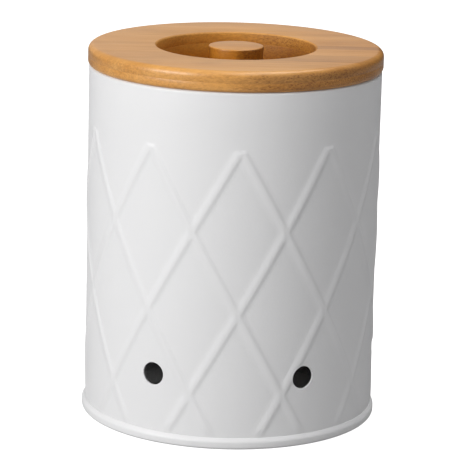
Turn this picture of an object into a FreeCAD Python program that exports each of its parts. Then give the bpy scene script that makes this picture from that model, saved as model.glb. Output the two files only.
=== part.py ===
import FreeCAD, Part
import math
import os

# Garlic keeper: an embossed sheet-steel canister with six air holes, and a bamboo lid
# that lifts off by a knob in a round finger recess.
# Millimetres and degrees. +Z is up, the front of the canister faces -Y, and the origin is
# the centre of the ring that the canister stands on.

Vector = FreeCAD.Vector
CENTRE = Vector(0, 0, 0)
UP = Vector(0, 0, 1)

# Canister wall: rolled sheet, turned in and down at the mouth as a hem
wall_radius = 64.5
sheet = 0.8
canister_height = 156.0
hem_bend = 0.5
hem_flat = 0.4
hem_drop = 10.0

# Canister base: stamped sheet, folded round the foot of the wall
seam_fold = 1.5
seam_height = 5.0
seam_foot_rounding = 1.4
seam_shoulder_height = 3.4
seam_shoulder_rounding = 1.6
seam_shoulder_flat = 0.25
seam_clearance = 0.05
foot_rounding = 0.5
panel_lift = 3.8
panel_bend = 0.4
panel_step_radius = 48.0
panel_step_rise = 1.0
panel_step_run = 3.0

# Embossed diamonds: ridges pressed outwards, in two crossing families
diamonds_round = 10
diamond_height = 72.0
diamond_turn = -86.6
plain_band = 24.6
ridge_foot_gap = 1.0
ridge_rise = 0.44
ridge_width = 5.2
ridge_tip_cut = 0.8
ridge_root = 0.4
ridge_join = 0.0001

# Air holes near the foot of the wall
vent_count = 6
vent_radius = 5.0
vent_height = 30.6
vent_turn = 0.0

# Lid: three bamboo boards glued flat on each other
lid_overhang = 0.5
top_board = 5.0
middle_board = 7.0
bottom_board = 6.0
flange = 9.0
lid_top_rounding = 2.8
lid_under_rounding = 1.8
recess_radius = 35.0
recess_rounding = 1.0
plug_clearance = 1.3
plug_rounding = 1.0

# Knob in the recess, flush with the top of the lid and drawn in towards its foot
knob_radius = 12.2
knob_draw = 0.85
knob_rounding = 0.9

# Countersunk screw that holds the knob from below
screw_radius = 1.75
screw_bite = 7.3
screw_point = 2.5
screw_head_radius = 3.5
screw_head_sink = 0.3
screw_clearance = 0.2
pilot_clearance = 0.05
pilot_spare = 1.0
cross_length = 4.0
cross_width = 0.8
cross_depth = 1.3

# Silicone seal in a groove round the bottom board
groove_depth = 2.0
groove_height = 3.2
seal_clearance = 0.05
lip_count = 2
lip_gap = 0.45
lip_taper = 0.45
lip_rounding = 0.2
lip_clearance = 0.2

# Radii and heights that follow from the sizes above
hem_rounding = hem_bend + sheet
mouth_radius = wall_radius - hem_flat - 2 * hem_rounding
seam_radius = wall_radius + seam_fold
ridge_top = canister_height - plain_band
ridge_foot = seam_height + ridge_foot_gap
half_diamond_turn = 180 / diamonds_round
half_diamond_height = diamond_height / 2
lid_radius = wall_radius + lid_overhang
lid_top = canister_height + flange
top_joint = lid_top - top_board
recess_floor = top_joint - middle_board
plug_foot = recess_floor - bottom_board
plug_radius = mouth_radius - plug_clearance
groove_low = plug_foot + (bottom_board - groove_height) / 2
groove_radius = plug_radius - groove_depth
screw_head_z = plug_foot + screw_head_sink
screw_tip = recess_floor + screw_bite


def corner_arc(before, corner, after, rounding):
    """Start, middle and end of the arc that rounds a corner between two others."""
    here = Vector(corner[0], 0, corner[1])
    back = (Vector(before[0], 0, before[1]) - here).normalize()
    ahead = (Vector(after[0], 0, after[1]) - here).normalize()
    half = back.getAngle(ahead) / 2
    reach = rounding / math.tan(half)
    inward = (back + ahead).normalize()
    middle = here + inward * (rounding / math.sin(half) - rounding)
    return here + back * reach, middle, here + ahead * reach


def turned(corners):
    """Solid turned about Z. A corner is (radius, height) or (radius, height, rounding)."""
    edges = []
    ends = []
    for index, corner in enumerate(corners):
        start = Vector(corner[0], 0, corner[1])
        end = start
        if len(corner) == 3:
            after = corners[(index + 1) % len(corners)]
            start, middle, end = corner_arc(corners[index - 1], corner, after, corner[2])
            edges.append(Part.Arc(start, middle, end).toShape())
        ends.append((start, end))
    for index, (start, end) in enumerate(ends):
        edges.append(Part.makeLine(ends[index - 1][1], start))
    outline = Part.Wire(Part.__sortEdges__(edges))
    return Part.Face(outline).revolve(CENTRE, UP, 360)


def ridge_section(path):
    """Cross-section of a ridge at the start of its path: an arc over a flat root in the sheet."""
    start = path.valueAt(path.FirstParameter)
    along = path.tangentAt(path.FirstParameter)
    outward = Vector(start.x, start.y, 0).normalize()
    across = along.cross(outward).normalize()
    arc_radius = (ridge_width ** 2 / 4 + ridge_rise ** 2) / (2 * ridge_rise)
    root_half = math.sqrt(arc_radius ** 2 - (arc_radius - ridge_rise - ridge_root) ** 2)
    left = start - across * root_half - outward * ridge_root
    right = start + across * root_half - outward * ridge_root
    crest = start + outward * ridge_rise
    return Part.Wire([Part.Arc(left, crest, right).toShape(), Part.makeLine(right, left)])


def ridge_diagonal(cut):
    """One diagonal of a quarter diamond, cut off by so much below the opposite corner."""
    slope = half_diamond_height / half_diamond_turn
    spare = 2 * ridge_width
    helix = Part.makeHelix(slope * 360, half_diamond_height + 2 * spare, wall_radius)
    ridge = Part.Wire(helix.Edges).makePipeShell([ridge_section(helix.Edges[0])], True, True)
    ridge.rotate(CENTRE, UP, -spare / slope)
    ridge.translate(Vector(0, 0, -spare))
    cell_radius = wall_radius + ridge_width
    cell = Part.makeCylinder(cell_radius, half_diamond_height - cut, CENTRE, UP, half_diamond_turn)
    return ridge.common(cell)


def ridge_column():
    """The zigzag of diagonals from the foot to the top, within half a diamond's width."""
    pieces = []
    for row in range(math.ceil((ridge_top - ridge_foot) / half_diamond_height)):
        piece = ridge_diagonal(ridge_tip_cut if row == 0 else 0)
        if row % 2 == 0:
            piece = piece.mirror(CENTRE, Vector(0, 1, 0))
            piece.rotate(CENTRE, UP, half_diamond_turn)
        piece.translate(Vector(0, 0, ridge_top - (row + 1) * half_diamond_height))
        pieces.append(piece)
    below = Part.makeCylinder(2 * wall_radius, diamond_height)
    below.translate(Vector(0, 0, ridge_foot - diamond_height))
    return pieces[0].fuse(pieces[1:], ridge_join).cut(below)


def ridge_net():
    """All the ridges round the canister, as one solid rooted in the sheet."""
    right = ridge_column()
    left = right.mirror(CENTRE, Vector(0, 1, 0))
    columns = []
    for index in range(diamonds_round):
        for half in (left, right):
            column = half.copy()
            column.rotate(CENTRE, UP, diamond_turn + 2 * index * half_diamond_turn)
            columns.append(column)
    return columns[0].fuse(columns[1:], ridge_join)


def vent_drills():
    """One round drill through the sheet for each air hole."""
    drills = []
    for index in range(vent_count):
        start = Vector(wall_radius / 2, 0, vent_height)
        drill = Part.makeCylinder(vent_radius, wall_radius, start, Vector(1, 0, 0))
        drill.rotate(CENTRE, UP, vent_turn + index * 360 / vent_count)
        drills.append(drill)
    return drills


def canister_wall():
    inside = wall_radius - sheet
    hem_inside = mouth_radius + sheet
    under_hem = canister_height - sheet
    hem_edge = canister_height - hem_drop
    tube = turned([
        (wall_radius, sheet),
        (wall_radius, canister_height, hem_rounding),
        (mouth_radius, canister_height, hem_rounding),
        (mouth_radius, hem_edge),
        (hem_inside, hem_edge),
        (hem_inside, under_hem, hem_bend),
        (inside, under_hem, hem_bend),
        (inside, sheet),
    ])
    return tube.fuse(ridge_net()).cut(vent_drills())


def canister_base():
    outer = wall_radius + seam_clearance
    inner = wall_radius - sheet - seam_clearance
    panel_top = panel_lift + sheet
    step_foot = panel_step_radius + panel_step_run
    return turned([
        (0, panel_lift + panel_step_rise),
        (panel_step_radius, panel_lift + panel_step_rise),
        (step_foot, panel_lift),
        (inner - sheet, panel_lift, panel_bend),
        (inner - sheet, 0, foot_rounding),
        (seam_radius, 0, seam_foot_rounding),
        (seam_radius, seam_shoulder_height, seam_shoulder_rounding),
        (outer + seam_shoulder_flat, seam_height),
        (outer, seam_height),
        (outer, sheet),
        (inner, sheet),
        (inner, panel_top, panel_bend + sheet),
        (step_foot, panel_top),
        (panel_step_radius, panel_top + panel_step_rise),
        (0, panel_top + panel_step_rise),
    ])


def lid_top_board():
    return turned([
        (recess_radius, top_joint),
        (lid_radius, top_joint),
        (lid_radius, lid_top, lid_top_rounding),
        (recess_radius, lid_top, recess_rounding),
    ])


def lid_middle_board():
    return turned([
        (recess_radius, recess_floor),
        (plug_radius, recess_floor),
        (plug_radius, canister_height),
        (lid_radius, canister_height, lid_under_rounding),
        (lid_radius, top_joint),
        (recess_radius, top_joint),
    ])


def lid_bottom_board():
    hole = screw_radius + screw_clearance
    sink_radius = screw_head_radius + screw_head_sink + screw_clearance
    return turned([
        (hole, recess_floor),
        (plug_radius, recess_floor),
        (plug_radius, groove_low + groove_height),
        (groove_radius, groove_low + groove_height),
        (groove_radius, groove_low),
        (plug_radius, groove_low),
        (plug_radius, plug_foot, plug_rounding),
        (sink_radius, plug_foot),
        (hole, plug_foot + sink_radius - hole),
    ])


def lid_knob():
    pilot = screw_radius + pilot_clearance
    pilot_top = screw_tip + pilot_spare
    return turned([
        (pilot, recess_floor),
        (knob_radius - knob_draw, recess_floor),
        (knob_radius, lid_top, knob_rounding),
        (0, lid_top),
        (0, pilot_top),
        (pilot, pilot_top),
    ])


def knob_screw():
    screw = turned([
        (0, screw_head_z),
        (screw_head_radius, screw_head_z),
        (screw_radius, screw_head_z + screw_head_radius - screw_radius),
        (screw_radius, screw_tip - screw_point),
        (0, screw_tip),
    ])
    slot = Part.makeBox(cross_length, cross_width, cross_depth)
    slot.translate(Vector(-cross_length / 2, -cross_width / 2, screw_head_z))
    crossing = slot.copy()
    crossing.rotate(CENTRE, UP, 90)
    return screw.cut([slot, crossing])


def lid_seal():
    inner = groove_radius + seal_clearance
    low = groove_low + seal_clearance
    high = groove_low + groove_height - seal_clearance
    tip_radius = mouth_radius - lip_clearance
    pitch = (high - low) / lip_count
    root_half = (pitch - lip_gap) / 2
    tip_half = root_half * lip_taper
    outline = [(inner, low), (plug_radius, low)]
    for index in range(lip_count):
        middle = low + (index + 0.5) * pitch
        outline.append((plug_radius, middle - root_half))
        outline.append((tip_radius, middle - tip_half, lip_rounding))
        outline.append((tip_radius, middle + tip_half, lip_rounding))
        outline.append((plug_radius, middle + root_half))
    outline.append((plug_radius, high))
    outline.append((inner, high))
    return turned(outline)


def main():
    os.makedirs("parts", exist_ok=True)
    makers = [
        canister_wall,
        canister_base,
        lid_top_board,
        lid_middle_board,
        lid_bottom_board,
        lid_knob,
        knob_screw,
        lid_seal,
    ]
    for maker in makers:
        shape = maker()
        print(maker.__name__, shape.isValid(), len(shape.Solids), round(shape.Volume, 1))
        shape.exportStep("parts/" + maker.__name__ + ".step")


main()
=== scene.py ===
import math

import bmesh
import bpy
from mathutils import Matrix, Vector


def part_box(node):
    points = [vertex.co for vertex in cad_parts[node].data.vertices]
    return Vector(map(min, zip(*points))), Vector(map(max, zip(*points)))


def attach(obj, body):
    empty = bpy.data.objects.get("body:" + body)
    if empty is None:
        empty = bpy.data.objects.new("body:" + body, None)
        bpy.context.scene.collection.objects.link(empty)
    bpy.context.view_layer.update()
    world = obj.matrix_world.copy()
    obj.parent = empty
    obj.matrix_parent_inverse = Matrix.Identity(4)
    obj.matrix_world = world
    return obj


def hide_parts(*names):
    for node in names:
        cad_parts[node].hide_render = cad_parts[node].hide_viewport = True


# Garlic keeper: a white powder-coated steel canister with pressed diamonds and six air
# holes, and a lid of three glued bamboo boards with a knob in its finger recess.
# Metres. +Z is up and the front faces -Y.

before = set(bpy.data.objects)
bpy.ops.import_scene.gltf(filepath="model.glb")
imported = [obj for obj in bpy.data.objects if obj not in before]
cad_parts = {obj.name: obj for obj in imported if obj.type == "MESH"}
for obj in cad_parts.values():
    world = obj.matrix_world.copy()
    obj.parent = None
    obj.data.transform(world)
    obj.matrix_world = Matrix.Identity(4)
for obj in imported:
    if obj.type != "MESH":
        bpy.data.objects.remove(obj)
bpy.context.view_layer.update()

MM = 0.001
MM_PER_METRE = 1000
UP = Vector((0, 0, 1))
FULL_TURN = 2 * math.pi

wall_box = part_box("canister_wall")
base_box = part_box("canister_base")
top_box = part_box("lid_top_board")
bottom_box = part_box("lid_bottom_board")
screw_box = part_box("knob_screw")
seal_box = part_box("lid_seal")

# Gap left between faces that lie against each other
snug = 0.05 * MM

# Canister
wall_radius = 64.5 * MM
sheet = 0.8 * MM
rim_height = wall_box[1].z
hem_bend = 0.5 * MM
hem_flat = 0.4 * MM
hem_drop = 10 * MM
mouth_radius = wall_radius - hem_flat - 2 * (hem_bend + sheet)

# Pressed diamonds
diamonds_round = 10
diamond_height = 72 * MM
diamond_turn = math.radians(-86.6)
plain_band = 24.6 * MM
ridge_rise = 0.44 * MM
ridge_left_width = 3.2 * MM
ridge_right_width = 2 * MM
ridge_tip_cut = 0.8 * MM
ridge_foot = 6 * MM
ridge_fade = 0.6 * MM
ridge_fullness = 0.6
ridge_top = rim_height - plain_band

# Air holes
vent_count = 6
vent_radius = 5 * MM
vent_height = 30.6 * MM
vent_ring = 0.9 * MM
vent_edge = 0.12 * MM

# Seam at the foot of the wall
seam_radius = base_box[1].x
seam_height = 5 * MM
seam_lip = 0.25 * MM
seam_lip_rounding = 0.3 * MM
seam_shoulder_height = 3.4 * MM
seam_shoulder_rounding = 1.6 * MM
seam_foot_rounding = 1.4 * MM
seam_inner_rounding = 0.5 * MM
wall_tuck = 1 * MM

# Base panel
panel_lift = 3.8 * MM
panel_corner_above = 1.2 * MM
panel_corner_below = 0.4 * MM
panel_step_radius = 48 * MM
panel_step_rise = 1 * MM
panel_step_run = 3 * MM
panel_step_above = 1.6 * MM
panel_step_below = 0.8 * MM

# Lid
lid_radius = top_box[1].x
lid_top = top_box[1].z
lid_top_rounding = 2.8 * MM
lid_foot_rounding = 1.8 * MM
top_joint = top_box[0].z
board_edge = 0.06 * MM
recess_floor = bottom_box[1].z
recess_radius = 35 * MM
recess_rounding = 1 * MM
plug_foot = bottom_box[0].z
plug_radius = bottom_box[1].x
plug_rounding = 1 * MM

# Knob and its screw
knob_radius = 12.2 * MM
knob_taper = 0.85 * MM
knob_rounding = 0.6 * MM
screw_radius = 1.75 * MM
screw_head_radius = screw_box[1].x
screw_play = 0.2 * MM
screw_head_play = 0.5 * MM
screw_sink_depth = 0.3 * MM
screw_sink_edge = 0.15 * MM
screw_tip_room = 1 * MM

# Seal
groove_depth = 2 * MM
groove_height = 3.2 * MM
groove_low = plug_foot + (recess_floor - plug_foot - groove_height) / 2
seal_lips = 2
lip_gap = 0.45 * MM
lip_taper = 0.45
lip_rounding = 0.2 * MM


# Camera: the photograph's viewing angle, in its own square frame

photo_width = 470
focal_pixels = 2639.25
sensor_width = 36
camera_place = (0, -1.1458, 0.36294)
camera_yaw = 0.0014
camera_pitch = 0.2428
camera_roll = 0.0262


def make_camera():
    ahead = Vector((
        math.sin(camera_yaw) * math.cos(camera_pitch),
        math.cos(camera_yaw) * math.cos(camera_pitch),
        -math.sin(camera_pitch),
    ))
    level = Vector((math.cos(camera_yaw), -math.sin(camera_yaw), 0))
    upward = level.cross(ahead)
    right = math.cos(camera_roll) * level + math.sin(camera_roll) * upward
    top = math.cos(camera_roll) * upward - math.sin(camera_roll) * level
    turn = Matrix((right, top, -ahead)).transposed()
    data = bpy.data.cameras.new("camera")
    data.sensor_width = sensor_width
    data.lens = focal_pixels * sensor_width / photo_width
    camera = bpy.data.objects.new("camera", data)
    camera.matrix_world = Matrix.Translation(camera_place) @ turn.to_4x4()
    bpy.context.scene.collection.objects.link(camera)
    bpy.context.scene.camera = camera


# Mesh helpers

turned_steps = 240
rounding_step = 0.3 * MM
smooth_angle = math.radians(50)
turned_weld = MM / 1000
weld = MM / 100


def new_piece(name, bm, body, node, material):
    """The finished mesh as a piece that rides on a body and stands for its CAD node."""
    mesh = bpy.data.meshes.new(name)
    bm.to_mesh(mesh)
    bm.free()
    mesh.shade_smooth()
    mesh.set_sharp_from_angle(angle=smooth_angle)
    mesh.materials.append(material)
    piece = bpy.data.objects.new(name, mesh)
    bpy.context.scene.collection.objects.link(piece)
    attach(piece, body)
    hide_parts(node)
    return piece


def turned(corners):
    """Solid turned about Z. A corner is (radius, height) or (radius, height, rounding)."""
    bm = bmesh.new()
    ring = [bm.verts.new((corner[0], 0, corner[1])) for corner in corners]
    line = [bm.edges.new(pair) for pair in zip(ring, ring[1:] + ring[:1])
            if any(vert.co.x > 0 for vert in pair)]
    bmesh.ops.spin(bm, geom=ring + line, cent=(0, 0, 0), axis=UP, angle=FULL_TURN,
                   steps=turned_steps, use_merge=True, use_duplicate=False)
    bmesh.ops.remove_doubles(bm, verts=bm.verts, dist=turned_weld)
    bmesh.ops.recalc_face_normals(bm, faces=bm.faces)
    for index, corner in enumerate(corners):
        if len(corner) == 3:
            radius, height, rounding = corner
            before = Vector(corners[index - 1][:2]) - Vector((radius, height))
            after = Vector(corners[(index + 1) % len(corners)][:2]) - Vector((radius, height))
            reach = rounding / math.tan(before.angle(after) / 2)
            round_ring(bm, radius, height, reach, 2 + round(rounding / rounding_step))
    return bm


def round_ring(bm, radius, height, reach, segments):
    """Bevels the circular edge at this radius and height."""
    near = MM / 200
    edges = [
        edge for edge in bm.edges
        if all(abs(v.co.z - height) < near and abs(v.co.xy.length - radius) < near
               for v in edge.verts)
    ]
    bmesh.ops.bevel(bm, geom=edges, offset=reach, offset_type="OFFSET", segments=segments,
                    profile=0.5, affect="EDGES", material=-1, clamp_overlap=True)


# Canister wall

half_turn = math.pi / diamonds_round
half_height = diamond_height / 2
half_arc = half_turn * wall_radius
net_low = ridge_foot - ridge_fade
net_high = ridge_top + 2 * ridge_left_width
net_lines = 24
line_crowding = 0.75
vent_segments = 72
hem_steps = 7
cut_edge_angle = math.radians(60)


def on_wall(turn, height, rise=0):
    radius = wall_radius + rise
    return Vector((radius * math.cos(turn), radius * math.sin(turn), height))


def bump(aside):
    """Height of a ridge's section, from 0 to 1. The flank on the left is wider and flatter."""
    share = min(aside.length / (ridge_left_width if aside.x < 0 else ridge_right_width), 1)
    return (1 - share * share) ** 2 * (1 + ridge_fullness * share * share)


def ridge_height(arc, height):
    """How far the sheet is pressed outwards at a place on the wall."""
    side = arc - diamond_turn * wall_radius
    drop = ridge_top - height
    untouched = 1
    for way in (1, -1):
        line = round((side / half_arc + way * drop / half_height) / 2)
        place = Vector((side - 2 * line * half_arc, drop))
        ray = Vector((-way * half_arc, half_height)).normalized()
        nearest = ray * max(place.dot(ray), 0)
        untouched *= 1 - bump(place - nearest)
    ends = 1
    for inside in (height - ridge_foot, drop - ridge_tip_cut + ridge_fade):
        share = min(max(inside / ridge_fade, 0), 1)
        ends *= share * share * (3 - 2 * share)
    return ridge_rise * (1 - untouched) * ends


def eased(share):
    """Moves evenly spaced lines between 0 and 1 closer to both ends, where the ridges are."""
    return share - line_crowding * math.sin(FULL_TURN * share) / FULL_TURN


def diamond_net():
    """The embossed band on its cylinder, in diamonds that are finely meshed along their sides."""
    rows = range(-1, math.ceil((ridge_top - net_low) / half_height) + 1)
    bm = bmesh.new()
    for row in rows:
        for column in range(diamonds_round):
            grid = bmesh.ops.create_grid(bm, x_segments=net_lines, y_segments=net_lines, size=0.5)
            for vert in grid["verts"]:
                first = column + eased(vert.co.x + 0.5)
                second = column - row + eased(vert.co.y + 0.5)
                vert.co = ((first + second) * half_arc, 0,
                           ridge_top - (first - second) * half_height)
    bmesh.ops.remove_doubles(bm, verts=bm.verts, dist=weld)
    for height, way in ((net_high, 1), (net_low, -1)):
        bmesh.ops.bisect_plane(bm, geom=bm.verts[:] + bm.edges[:] + bm.faces[:], dist=weld,
                               plane_co=(0, 0, height), plane_no=UP * way, clear_outer=True)
    for vert in bm.verts:
        turn = vert.co.x / wall_radius + diamond_turn
        vert.co = on_wall(turn, vert.co.z)
    bmesh.ops.remove_doubles(bm, verts=bm.verts, dist=weld)
    return bm


def cut_vent(bm, turn):
    """Opens a round hole in the wall, with even rings of faces round it."""
    def from_centre(vert):
        aside = (math.atan2(vert.co.y, vert.co.x) - turn + math.pi) % FULL_TURN - math.pi
        return Vector((aside * wall_radius, vert.co.z - vent_height))

    def ring_at(verts, radius):
        for vert in verts:
            place = from_centre(vert).normalized() * radius
            vert.co = on_wall(turn + place.x / wall_radius, vent_height + place.y)

    rings = [vent_radius + vent_ring, vent_radius + vent_ring / 3, vent_radius]
    cleared = rings[0] + vent_ring / 2
    refined = 2 * vent_radius
    searched = 3 * vent_radius
    fine_edge = 2 * vent_ring / 3
    for longest in (2 * fine_edge, fine_edge):
        long = [e for e in bm.edges if e.calc_length() > longest
                and all(from_centre(v).length < refined for v in e.verts)]
        bmesh.ops.subdivide_edges(bm, edges=long, cuts=1, use_grid_fill=True)
    inside = [v for v in bm.verts if from_centre(v).length < cleared]
    bmesh.ops.delete(bm, geom=inside, context="VERTS")
    edges = [e for e in bm.edges if e.is_boundary and
             all(from_centre(v).length < searched for v in e.verts)]
    place = Matrix.Rotation(turn, 4, "Z") @ Matrix.Translation((wall_radius, 0, vent_height))
    place = place @ Matrix.Rotation(math.pi / 2, 4, "Y")
    circle = bmesh.ops.create_circle(bm, segments=vent_segments, radius=rings[0],
                                     matrix=place)["verts"]
    ring_at(circle, rings[0])
    around = list({e for v in circle for e in v.link_edges})
    bmesh.ops.bridge_loops(bm, edges=edges + around)
    edges = around
    for radius in rings[1:]:
        made = bmesh.ops.extrude_edge_only(bm, edges=edges)["geom"]
        ring_at([g for g in made if isinstance(g, bmesh.types.BMVert)], radius)
        edges = [g for g in made if isinstance(g, bmesh.types.BMEdge) and g.is_boundary]


def grow_rings(bm, height, profile):
    """Carries the wall on from its open edge at this height, ring by ring of a profile."""
    near = MM / 10
    edges = [e for e in bm.edges
             if e.is_boundary and all(abs(v.co.z - height) < near for v in e.verts)]
    for radius, z in profile:
        made = bmesh.ops.extrude_edge_only(bm, edges=edges)["geom"]
        for vert in (g for g in made if isinstance(g, bmesh.types.BMVert)):
            vert.co = Vector((vert.co.x, vert.co.y, 0)).normalized() * radius
            vert.co.z = z
        edges = [g for g in made if isinstance(g, bmesh.types.BMEdge) and g.is_boundary]


def hem_profile():
    """Radii and heights up the plain band, over the rounded mouth and down inside it."""
    outside = hem_bend + sheet
    points = [(wall_radius, ridge_top + plain_band / 2)]
    for centre, start in ((wall_radius - outside, 0), (mouth_radius + outside, math.pi / 2)):
        for step in range(hem_steps + 1):
            angle = start + math.pi / 2 * step / hem_steps
            points.append((centre + outside * math.cos(angle),
                           rim_height - outside + outside * math.sin(angle)))
    points.append((mouth_radius, rim_height - hem_drop))
    return points


def make_wall(material):
    bm = diamond_net()
    for index in range(vent_count):
        cut_vent(bm, index * FULL_TURN / vent_count)
    for vert in bm.verts:
        turn = math.atan2(vert.co.y, vert.co.x)
        rise = ridge_height(turn * wall_radius, vert.co.z)
        vert.co = on_wall(turn, vert.co.z, rise)
    grow_rings(bm, net_high, hem_profile())
    grow_rings(bm, net_low, [(wall_radius, seam_height - wall_tuck), (wall_radius, sheet)])
    bmesh.ops.remove_doubles(bm, verts=bm.verts, dist=weld)
    bmesh.ops.recalc_face_normals(bm, faces=bm.faces)
    face = max(bm.faces, key=lambda f: f.calc_center_median().xy.length)
    if face.normal.dot(face.calc_center_median()) < 0:
        bmesh.ops.reverse_faces(bm, faces=bm.faces)
    shell = new_piece("canister_shell", bm, "canister", "canister_wall",
                      material)
    thickness = shell.modifiers.new("sheet", "SOLIDIFY")
    thickness.thickness = sheet
    thickness.offset = -1
    edge = shell.modifiers.new("cut_edges", "BEVEL")
    edge.width = vent_edge
    edge.segments = 2
    edge.limit_method = "ANGLE"
    edge.angle_limit = cut_edge_angle


# Base

def make_base(material):
    """Stamped panel with a shallow step, folded round the foot of the wall."""
    outer = wall_radius + snug
    inner = wall_radius - sheet - snug
    panel_top = panel_lift + sheet
    step_foot = panel_step_radius + panel_step_run
    bm = turned([
        (0, panel_lift + panel_step_rise),
        (panel_step_radius, panel_lift + panel_step_rise, panel_step_below),
        (step_foot, panel_lift, panel_step_below),
        (inner - sheet, panel_lift, panel_corner_below),
        (inner - sheet, 0, seam_inner_rounding),
        (seam_radius, 0, seam_foot_rounding),
        (seam_radius, seam_shoulder_height, seam_shoulder_rounding),
        (outer + seam_lip, seam_height, seam_lip_rounding),
        (outer, seam_height),
        (outer, sheet),
        (inner, sheet),
        (inner, panel_top, panel_corner_above),
        (step_foot, panel_top, panel_step_above),
        (panel_step_radius, panel_top + panel_step_rise, panel_step_above),
        (0, panel_top + panel_step_rise),
    ])
    new_piece("canister_foot", bm, "canister", "canister_base", material)


# Lid: each board's outline, turned about the axis

def top_board():
    return [
        (recess_radius, top_joint, board_edge),
        (lid_radius, top_joint, board_edge),
        (lid_radius, lid_top, lid_top_rounding),
        (recess_radius, lid_top, recess_rounding),
    ]


def middle_board():
    return [
        (recess_radius, recess_floor, board_edge),
        (plug_radius, recess_floor, board_edge),
        (plug_radius, rim_height),
        (lid_radius, rim_height, lid_foot_rounding),
        (lid_radius, top_joint, board_edge),
        (recess_radius, top_joint, board_edge),
    ]


def bottom_board():
    """The plug, with the seal's groove in its side and the screw's sunk hole in its middle."""
    bore = screw_radius + screw_play
    sink_top = plug_foot + screw_head_radius - screw_radius + screw_sink_depth
    return [
        (bore, recess_floor),
        (plug_radius, recess_floor, board_edge),
        (plug_radius, groove_low + groove_height, board_edge),
        (plug_radius - groove_depth, groove_low + groove_height),
        (plug_radius - groove_depth, groove_low),
        (plug_radius, groove_low, board_edge),
        (plug_radius, plug_foot, plug_rounding),
        (screw_head_radius + screw_head_play, plug_foot, screw_sink_edge),
        (bore, sink_top),
    ]


def knob():
    bore = screw_radius + snug
    bore_end = screw_box[1].z + screw_tip_room
    return [
        (bore, recess_floor),
        (knob_radius - knob_taper, recess_floor, board_edge),
        (knob_radius, lid_top, knob_rounding),
        (0, lid_top),
        (0, bore_end),
        (bore, bore_end),
    ]


def make_lid(finishes):
    for node, slot, outline in (
        ("lid_top_board", "bamboo_top", top_board()),
        ("lid_middle_board", "bamboo_middle", middle_board()),
        ("lid_bottom_board", "bamboo_bottom", bottom_board()),
        ("lid_knob", "bamboo_knob", knob()),
    ):
        new_piece(node + "_wood", turned(outline), "lid", node, finishes[slot])


def make_seal(material):
    """Silicone ring in the plug's groove, with lips that narrow towards the mouth."""
    inner = plug_radius - groove_depth + snug
    tip_radius = seal_box[1].x
    low, high = seal_box[0].z, seal_box[1].z
    pitch = (high - low) / seal_lips
    root_half = (pitch - lip_gap) / 2
    tip_half = root_half * lip_taper
    corners = [(inner, low), (plug_radius, low)]
    for index in range(seal_lips):
        middle = low + (index + 0.5) * pitch
        corners += [
            (plug_radius, middle - root_half),
            (tip_radius, middle - tip_half, lip_rounding),
            (tip_radius, middle + tip_half, lip_rounding),
            (plug_radius, middle + root_half),
        ]
    corners += [(plug_radius, high), (inner, high)]
    new_piece("lid_seal_ring", turned(corners), "lid", "lid_seal", material)


def dress_screw(material):
    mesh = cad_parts["knob_screw"].data
    mesh.materials.clear()
    mesh.materials.append(material)


# Node helpers

FLOAT, COLOUR, VECTOR = "NodeSocketFloat", "NodeSocketColor", "NodeSocketVector"


def rgba(red, green, blue):
    return (red, green, blue, 1)


WHITE, BLACK = rgba(1, 1, 1), rgba(0, 0, 0)


def feed(tree, socket, value):
    """Fills a node's input with a plain value or with the socket that feeds it."""
    if isinstance(value, bpy.types.NodeSocket):
        tree.links.new(value, socket)
    else:
        socket.default_value = value


def add(tree, kind, inputs=None, **settings):
    """A new node; each input goes by its name or index."""
    node = tree.nodes.new(kind)
    for name, value in settings.items():
        setattr(node, name, value)
    for name, value in (inputs or {}).items():
        feed(tree, node.inputs[name], value)
    return node


def maths(tree, operation, first, second=0.5, third=0.5, clamp=False):
    return add(tree, "ShaderNodeMath", {0: first, 1: second, 2: third},
               operation=operation, use_clamp=clamp).outputs[0]


def ranged(tree, value, low, high, to_low=0, to_high=1):
    """A value carried smoothly from one range to another."""
    return add(tree, "ShaderNodeMapRange", {
        "Value": value, "From Min": low, "From Max": high, "To Min": to_low, "To Max": to_high,
    }, interpolation_type="SMOOTHSTEP").outputs["Result"]


def split(tree, vector):
    return add(tree, "ShaderNodeSeparateXYZ", {"Vector": vector}).outputs


def stretched(tree, place, scale, offset=(0, 0, 0)):
    """Coordinates in millimetres, stretched by a scale along each axis."""
    return add(tree, "ShaderNodeMapping", {
        "Vector": place, "Scale": [MM_PER_METRE * factor for factor in scale],
        "Location": offset,
    }).outputs["Vector"]


def noise(tree, place, scale, detail=3, roughness=0.5, offset=(0, 0, 0)):
    return add(tree, "ShaderNodeTexNoise", {
        "Vector": stretched(tree, place, scale, offset), "Scale": 1, "Detail": detail,
        "Roughness": roughness,
    }).outputs["Fac"]


def mixed(tree, share, first, second, blend="MIX"):
    node = add(tree, "ShaderNodeMix", data_type="RGBA", blend_type=blend)
    colours = [socket for socket in node.inputs if socket.type == "RGBA"]
    feed(tree, node.inputs["Factor"], share)
    feed(tree, colours[0], first)
    feed(tree, colours[1], second)
    return [socket for socket in node.outputs if socket.type == "RGBA"][0]


def new_group(name, inputs):
    """A node group for a surface; its inputs are given as (kind, default value)."""
    group = bpy.data.node_groups.new(name, "ShaderNodeTree")
    for label, (kind, value) in inputs.items():
        socket = group.interface.new_socket(label, in_out="INPUT", socket_type=kind)
        if value is not None:
            socket.default_value = value
    for label, kind in (("Color", COLOUR), ("Roughness", FLOAT), ("Height", FLOAT)):
        group.interface.new_socket(label, in_out="OUTPUT", socket_type=kind)
    return group, group.nodes.new("NodeGroupInput"), group.nodes.new("NodeGroupOutput")


# Bamboo: noise scales are per millimetre, along the strips, across them and down

strip_width = 8
strip_wander = 3
wander_scale = (0.012, 0.012, 0.012)
band_scale = (0.009, 0.16, 0.16)
streak_scale = (0.03, 0.75, 0.75)
fibre_scale = (0.09, 2.6, 2.6)
patch_scale = (0.03, 0.045, 0.06)
speck_scale = (0.5, 1.3, 1.3)
bundle_scale = (0.35, 1.25, 1.25)

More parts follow.
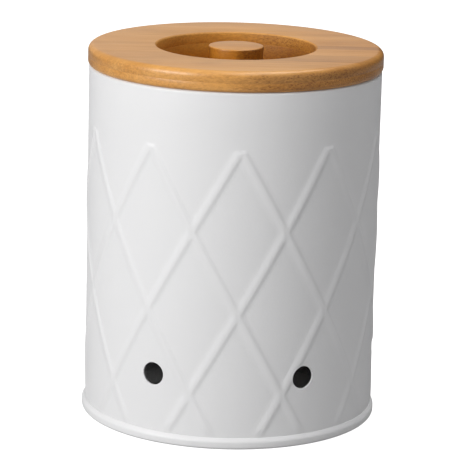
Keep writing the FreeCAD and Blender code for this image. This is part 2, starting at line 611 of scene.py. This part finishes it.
# Share of the golden colour against the pale one
golden_bands, golden_bands_level = 1.6, -0.5
golden_strips = 0.3
golden_streaks, golden_streaks_level = 0.6, 0.35
golden_right = 0.4
golden_right_reach = (10, 60)

# Share of the brown colour
brown_fibres, brown_fibres_reach = 0.16, (0.4, 0.7)
brown_streaks, brown_streaks_reach = 0.14, (0.5, 0.75)
brown_patches, brown_patches_reach = 0.16, (0.45, 0.7)
brown_dots, brown_dots_reach = 0.45, (0.16, 0.42)
dots_off_end = 0.3
brown_specks, brown_specks_reach = 0.16, (0.35, 0.65)
dull_strips_reach = (0.45, 1)
dull_left, dull_right, dull_reach = 0.08, 0.34, (15, 40)

# Which way a face looks. The reaches for the right side and for the recess walls also place painted
# shade: the right side faces away from the key light, and the recess walls facing -X are darkened
# against the key light that falls on them.
side_facing = (0.3, 0.85)
end_and_shade_facing_right = (-0.12, 0.24)
end_facing_left = (-0.8, -1)
end_and_shade_facing_in = (-0.6, 0.3)

streak_roughness = 0.16
inner_roughness = 0.35
fibre_relief, streak_relief, dot_relief = 0.5, 0.3, 0.25


def bamboo_faces(group, given):
    """Masks of the turned sides, the sides towards the axis, the painted shade on the recess walls
    and the knob side, and the strips' cut grain together with painted shade on the right side and
    on the recess walls facing -X.
    """
    facing = split(group, given.outputs["Facing"])
    spot = split(group, given.outputs["Spot"])
    edge = ranged(group, maths(group, "ABSOLUTE", facing["Z"]), *side_facing, 1, 0)
    outward = maths(group, "MULTIPLY_ADD", facing["Y"], spot["Y"],
                    maths(group, "MULTIPLY", facing["X"], spot["X"]))
    inward = ranged(group, outward, -recess_radius / 2, 0, 1, 0)
    # Painted shade: the sides that face the axis, and the whole knob side when switched on, are
    # marked for a darker, more saturated colour standing in for the dim light inside the recess.
    painted_recess_shade = maths(group, "MULTIPLY", edge,
                   maths(group, "MAXIMUM", inward, given.outputs["Shade All Sides"]))
    # Real darkening of the strips' cut grain plus painted shade: broad over the right side, which
    # faces away from the key light, and narrow on the left. On the recess walls only those facing
    # -X are darkened, painted shade over the key light that falls on them.
    end_grain_and_shade = maths(group, "ADD", ranged(group, facing["X"], *end_and_shade_facing_right),
                ranged(group, facing["X"], *end_facing_left), clamp=True)
    inner_end_grain_and_shade = ranged(group, facing["X"], *end_and_shade_facing_in, 1, 0)
    end_grain_and_shade = maths(group, "MULTIPLY_ADD", inward, maths(group, "SUBTRACT", inner_end_grain_and_shade, end_grain_and_shade), end_grain_and_shade)
    end_grain_and_shade = maths(group, "MULTIPLY", end_grain_and_shade, edge)
    return edge, inward, painted_recess_shade, end_grain_and_shade


def share_of(group, amount, value, reach):
    """An amount that comes in as a value rises through its reach."""
    return maths(group, "MULTIPLY", ranged(group, value, *reach), amount)


def bamboo_group():
    """Bamboo strips along X: soft bands on the faces, dotted cut grain on the turned edges, and
    painted shade on the right-hand side, the recess walls and the knob side.
    """
    group, given, result = new_group("bamboo_strips", {
        "Place": (VECTOR, None),
        "Facing": (VECTOR, None),
        "Spot": (VECTOR, None),
        "Pale": (COLOUR, WHITE),
        "Golden": (COLOUR, WHITE),
        "Brown": (COLOUR, BLACK),
        "End Grain And Shade Darkness": (FLOAT, 0.34),
        "Shade All Sides": (FLOAT, 0.0),
        "Tint": (COLOUR, WHITE),
        "Base Roughness": (FLOAT, 0.24),
    })
    place = given.outputs["Place"]
    edge, inward, painted_recess_shade, end_grain_and_shade = bamboo_faces(group, given)
    parts = split(group, stretched(group, place, (1, 1, 1)))
    along, across = parts["X"], parts["Y"]

    wander = noise(group, place, wander_scale, detail=1, offset=(2, 2, 2))
    strips = maths(group, "DIVIDE", maths(group, "MULTIPLY_ADD", wander, strip_wander, across),
                   strip_width)
    tone = add(group, "ShaderNodeTexWhiteNoise", {"W": maths(group, "FLOOR", strips)},
               noise_dimensions="1D").outputs["Value"]
    bands = noise(group, place, band_scale, detail=3, roughness=0.6)
    streaks = noise(group, place, streak_scale, detail=4, roughness=0.65, offset=(3, 7, 1))
    fibres = noise(group, place, fibre_scale, detail=3, roughness=0.6, offset=(9, 2, 5))
    patches = noise(group, place, patch_scale, detail=2, offset=(4, 4, 8))
    specks = noise(group, place, speck_scale, detail=3, roughness=0.7, offset=(6, 3, 2))
    bundles = add(group, "ShaderNodeTexVoronoi", {
        "Vector": stretched(group, place, bundle_scale), "Scale": 1, "Randomness": 1,
    }).outputs["Distance"]
    dot = maths(group, "MULTIPLY", ranged(group, bundles, *brown_dots_reach, 1, 0),
                maths(group, "MULTIPLY_ADD", end_grain_and_shade, 1 - dots_off_end, dots_off_end))
    dot = maths(group, "MULTIPLY", dot, edge)

    golden = maths(group, "MULTIPLY_ADD", bands, golden_bands, golden_bands_level)
    golden = maths(group, "MULTIPLY_ADD", tone, golden_strips, golden)
    golden = maths(group, "MULTIPLY_ADD", streaks, golden_streaks,
                   maths(group, "SUBTRACT", golden, golden_streaks_level))
    golden = maths(group, "ADD", golden,
                   ranged(group, along, *golden_right_reach, 0, golden_right), clamp=True)
    colour = mixed(group, golden, given.outputs["Pale"], given.outputs["Golden"])

    dull = maths(group, "MULTIPLY", ranged(group, tone, *dull_strips_reach),
                 ranged(group, along, *dull_reach, dull_left, dull_right))
    dull = maths(group, "MULTIPLY", dull, maths(group, "SUBTRACT", 1, edge))
    grain = ranged(group, specks, *brown_specks_reach, -brown_specks, brown_specks)
    brown = maths(group, "ADD", share_of(group, brown_fibres, fibres, brown_fibres_reach),
                  share_of(group, brown_streaks, streaks, brown_streaks_reach))
    brown = maths(group, "MAXIMUM", brown, maths(group, "MULTIPLY", dot, brown_dots))
    brown = maths(group, "ADD", brown,
                  share_of(group, brown_patches, patches, brown_patches_reach))
    brown = maths(group, "ADD", brown, dull)
    # Darker cut grain of the strips, with painted shade on the right side and on the recess walls
    # facing -X.
    brown = maths(group, "ADD", brown,
                  maths(group, "MULTIPLY", end_grain_and_shade, given.outputs["End Grain And Shade Darkness"]))
    brown = maths(group, "ADD", brown, maths(group, "MULTIPLY", grain, edge), clamp=True)
    colour = mixed(group, brown, colour, given.outputs["Brown"])
    # Painted shade: the marked sides have their colour multiplied by a darker, more saturated
    # colour for the shade inside the recess.
    shaded_colour = mixed(group, 1.0, colour, given.outputs["Tint"], "MULTIPLY")
    feed(group, result.inputs["Color"], mixed(group, painted_recess_shade, colour, shaded_colour))

    rough = maths(group, "MULTIPLY_ADD", streaks, streak_roughness,
                  given.outputs["Base Roughness"])
    feed(group, result.inputs["Roughness"],
         maths(group, "MULTIPLY_ADD", inward, inner_roughness, rough))
    height = maths(group, "MULTIPLY_ADD", fibres, fibre_relief,
                   maths(group, "MULTIPLY", streaks, streak_relief))
    feed(group, result.inputs["Height"],
         maths(group, "SUBTRACT", height, maths(group, "MULTIPLY", dot, dot_relief)))
    return group


# Powder coat

drift_scale = (0.03, 0.03, 0.03)
peel_scale = (0.8, 0.8, 0.8)
grit_scale = (4, 4, 4)
grit_share = 0.2


def peel_group():
    """Powder coat: the soft orange-peel skin, with faint drifts of tone and gloss."""
    group, given, result = new_group("powder_skin", {
        "Place": (VECTOR, None),
        "Bright": (COLOUR, WHITE),
        "Dull": (COLOUR, WHITE),
        "Gloss Drift": (FLOAT, 0.06),
        "Base Roughness": (FLOAT, 0.4),
    })
    place = given.outputs["Place"]
    drift = noise(group, place, drift_scale, detail=3)
    peel = noise(group, place, peel_scale, detail=2)
    grit = noise(group, place, grit_scale, detail=2, offset=(5, 1, 3))
    feed(group, result.inputs["Color"],
         mixed(group, drift, given.outputs["Bright"], given.outputs["Dull"]))
    feed(group, result.inputs["Roughness"],
         maths(group, "MULTIPLY_ADD", drift, given.outputs["Gloss Drift"],
               given.outputs["Base Roughness"]))
    feed(group, result.inputs["Height"],
         maths(group, "MULTIPLY_ADD", grit, grit_share, peel))
    return group


# Finishes

coat_bump = 0.03 * MM
smooth_bump = 0.01 * MM
wood_bump = 0.08 * MM

satin = {"Specular IOR Level": 0.32}
oiled = {"Specular IOR Level": 0.5}
dry = {"Specular IOR Level": 0.15}
metal = {"Metallic": 1}
milky = {"Subsurface Weight": 0.2}

white_coat = {"Bright": rgba(0.735, 0.733, 0.733), "Dull": rgba(0.72, 0.718, 0.72)}
zinc = {"Bright": rgba(0.6, 0.6, 0.58), "Dull": rgba(0.48, 0.48, 0.5),
        "Base Roughness": 0.25, "Gloss Drift": 0.2}
silicone = {"Bright": rgba(0.78, 0.78, 0.76), "Dull": rgba(0.7, 0.7, 0.69),
            "Base Roughness": 0.38}
# The cut-grain darkness set here also carries painted shade on the right-hand sides and on the
# recess walls facing -X.
wood = {"Pale": rgba(0.69, 0.35, 0.1), "Golden": rgba(0.59, 0.26, 0.05),
        "Brown": rgba(0.2, 0.07, 0.012), "End Grain And Shade Darkness": 0.42}
# The colour multipliers below are painted shade on the sides that face the axis: light on the top
# board's recess wall, darker on the middle board's wall and on the knob's side.
top_wood = {**wood, "Tint": rgba(0.9, 0.86, 0.5)}
middle_wood = {**wood, "Tint": rgba(0.72, 0.62, 0.2)}
# Painted shade: the bottom board, whose top is the recess floor, gets darker and more saturated
# bamboo colours for the shade at the bottom of the recess.
shaded_recess_floor_wood = {"Pale": rgba(0.52, 0.215, 0.013), "Golden": rgba(0.45, 0.17, 0.008),
               "Brown": rgba(0.17, 0.055, 0.008), "Base Roughness": 0.55}
knob_wood = {**wood, "Tint": rgba(0.72, 0.6, 0.28), "End Grain And Shade Darkness": 0.48, "Shade All Sides": 1}

# Each piece is cut from another place in its material
foot_cut = (0.3, 0, 0)
top_cut = (0, 0.0505, 0)
middle_cut = (0.031, 0.0042, 0.013)
bottom_cut = (-0.047, 0.0071, 0.029)
knob_cut = (0.083, 0.0023, 0.041)
uncut = (0, 0, 0)


def dressed(name, group, values, constants, bump_distance, cut=uncut):
    """A material whose colour, roughness and bump come from a group, at its own values."""
    material = bpy.data.materials.new(name)
    material.use_nodes = True
    tree = material.node_tree
    shader = tree.nodes["Principled BSDF"]
    spot = add(tree, "ShaderNodeTexCoord").outputs["Object"]
    moved = add(tree, "ShaderNodeMapping", {"Vector": spot, "Location": cut})
    pattern = add(tree, "ShaderNodeGroup", node_tree=group)
    feed(tree, pattern.inputs["Place"], moved.outputs["Vector"])
    if "Facing" in pattern.inputs:
        feed(tree, pattern.inputs["Facing"], add(tree, "ShaderNodeNewGeometry").outputs["Normal"])
        feed(tree, pattern.inputs["Spot"], spot)
    for label, value in values.items():
        feed(tree, pattern.inputs[label], value)
    bumped = add(tree, "ShaderNodeBump", {"Height": pattern.outputs["Height"],
                                          "Distance": bump_distance, "Strength": 1})
    feed(tree, shader.inputs["Base Color"], pattern.outputs["Color"])
    feed(tree, shader.inputs["Roughness"], pattern.outputs["Roughness"])
    feed(tree, shader.inputs["Normal"], bumped.outputs["Normal"])
    for label, value in constants.items():
        feed(tree, shader.inputs[label], value)
    return material


def make_finishes():
    """One material for each of the record's slots."""
    peel, bamboo = peel_group(), bamboo_group()
    return {
        "canister_coat": dressed("white_powder_coat", peel, white_coat, satin, coat_bump),
        "base_coat": dressed("white_foot_coat", peel, white_coat, satin, coat_bump, foot_cut),
        "bamboo_top": dressed("bamboo_top_board", bamboo, top_wood, oiled, wood_bump, top_cut),
        "bamboo_middle": dressed("bamboo_middle_board", bamboo, middle_wood, oiled, wood_bump,
                                 middle_cut),
        "bamboo_bottom": dressed("bamboo_bottom_board", bamboo, shaded_recess_floor_wood, dry, wood_bump,
                                 bottom_cut),
        "bamboo_knob": dressed("bamboo_knob_turned", bamboo, knob_wood, oiled, wood_bump,
                               knob_cut),
        "screw_steel": dressed("zinc_plate", peel, zinc, metal, smooth_bump),
        "seal_silicone": dressed("clear_silicone", peel, silicone, milky, smooth_bump),
    }


# Studio

sky_colour = rgba(0.98, 0.98, 1)
sky_strength = 0.32
dim_strength = 0.04
dim_direction = (0.55, 0.83, 0.05)
dim_reach = (0.8, 0.97)
floor_colour = rgba(0.45, 0.45, 0.45)
floor_radius = 6
floor_segments = 96


def panel(name, watts, size, place):
    """A soft area light that faces the keeper and stays out of the camera's sight."""
    data = bpy.data.lights.new(name, "AREA")
    data.shape = "RECTANGLE"
    data.size, data.size_y = size
    data.energy = watts
    light = bpy.data.objects.new(name, data)
    light.location = place
    aim = Vector((0, 0, lid_top / 2)) - Vector(place)
    light.rotation_euler = aim.to_track_quat("-Z", "Y").to_euler()
    light.visible_camera = False
    bpy.context.scene.collection.objects.link(light)


def make_lights():
    panel("key", watts=20.2, size=(0.9, 0.9), place=(-1.13, -0.92, 0.74))
    panel("overhead", watts=6.8, size=(1.4, 0.4), place=(0.2, -0.05, 1.15))
    panel("back_card", watts=0.4, size=(0.7, 0.8), place=(-0.15, 1.4, 0.55))
    panel("right_card", watts=0.8, size=(0.9, 0.9), place=(1.3, -0.9, 0.5))


def make_world():
    """A pale studio, dimmer behind on the right; the camera sees it as white paper."""
    world = bpy.data.worlds.new("studio")
    bpy.context.scene.world = world
    world.use_nodes = True
    tree = world.node_tree
    shade = tree.nodes["Background"]
    towards = add(tree, "ShaderNodeTexCoord").outputs["Generated"]
    behind = add(tree, "ShaderNodeVectorMath", {0: towards, 1: dim_direction},
                 operation="DOT_PRODUCT").outputs["Value"]
    feed(tree, shade.inputs["Color"], sky_colour)
    feed(tree, shade.inputs["Strength"],
         ranged(tree, behind, *dim_reach, sky_strength, dim_strength))
    seen = add(tree, "ShaderNodeBackground", {"Color": WHITE, "Strength": 1})
    ray = add(tree, "ShaderNodeLightPath").outputs["Is Camera Ray"]
    both = add(tree, "ShaderNodeMixShader", {
        "Fac": ray, 1: shade.outputs["Background"], 2: seen.outputs["Background"],
    })
    feed(tree, tree.nodes["World Output"].inputs["Surface"], both.outputs["Shader"])


def make_floor():
    """A pale floor, which the camera sees as white paper."""
    material = bpy.data.materials.new("paper_floor")
    material.use_nodes = True
    tree = material.node_tree
    shader = tree.nodes["Principled BSDF"]
    ray = add(tree, "ShaderNodeLightPath").outputs["Is Camera Ray"]
    for label, value in (("Base Color", floor_colour), ("Roughness", 1),
                         ("Specular IOR Level", 0), ("Emission Color", WHITE),
                         ("Emission Strength", ray)):
        feed(tree, shader.inputs[label], value)
    bm = bmesh.new()
    bmesh.ops.create_circle(bm, cap_ends=True, segments=floor_segments, radius=floor_radius)
    mesh = bpy.data.meshes.new("floor")
    bm.to_mesh(mesh)
    bm.free()
    mesh.materials.append(material)
    floor = bpy.data.objects.new("floor", mesh)
    bpy.context.scene.collection.objects.link(floor)


finishes = make_finishes()
make_camera()
make_wall(finishes["canister_coat"])
make_base(finishes["base_coat"])
make_lid(finishes)
make_seal(finishes["seal_silicone"])
dress_screw(finishes["screw_steel"])
make_floor()
make_world()
make_lights()
bpy.context.scene.view_settings.view_transform = "Standard"
